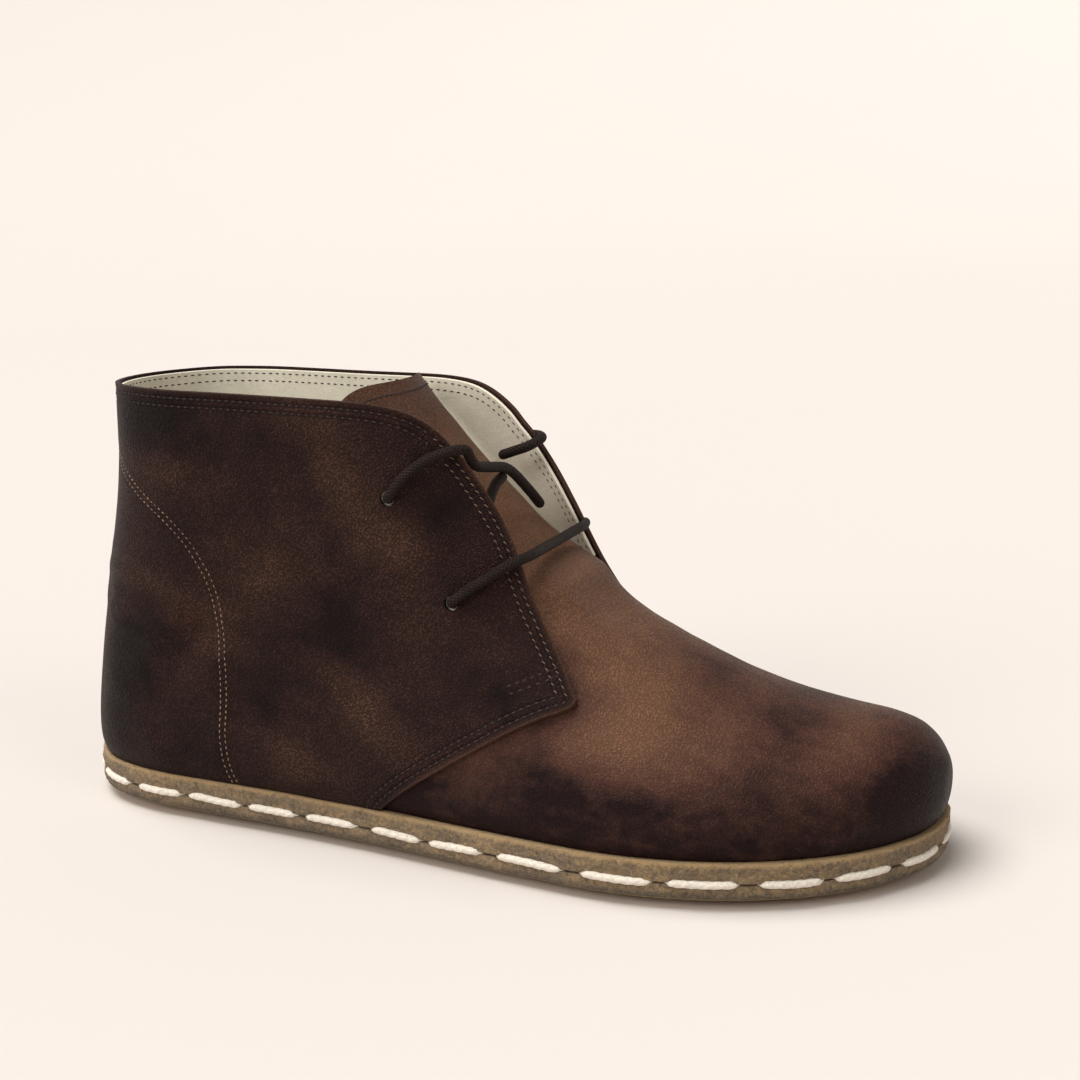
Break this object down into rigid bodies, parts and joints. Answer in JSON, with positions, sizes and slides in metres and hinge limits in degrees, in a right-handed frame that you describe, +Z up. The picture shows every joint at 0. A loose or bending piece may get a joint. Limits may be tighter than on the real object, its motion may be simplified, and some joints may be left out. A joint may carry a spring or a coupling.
{
  "type": "chukka boot",
  "caption": "Right low-cut leather chukka boot with a flat side-stitched leather sole, open quarters over a plain vamp and a round cord lace.",
  "frame": {"origin": "centre of the boot's bounding box, on the floor under the sole", "axes": "+X to the toe, +Z up, -Y to the outer side of this right boot"},
  "size_m": [0.2802, 0.1078, 0.1397],
  "materials": {
    "sole_leather": "natural vegetable-tanned leather, smooth below, raw fibrous cut edge",
    "upper_leather": "dark brown oiled pull-up leather, fine grain, satin",
    "tongue_leather": "mid brown oiled leather, satin",
    "insole_leather": "pale undyed leather, matt",
    "lace_cord": "dark brown round waxed cord",
    "copper": "plain copper, brushed flat"
  },
  "bodies": {
    "root": {"outsole": "sole_leather", "upper": "upper_leather", "tongue": "tongue_leather", "insole": "insole_leather", "lace_lower_bar": "lace_cord", "lace_crossing": "lace_cord", "lace_inner_strand": "lace_cord", "rivet": "copper"}
  },
  "joints": []
}
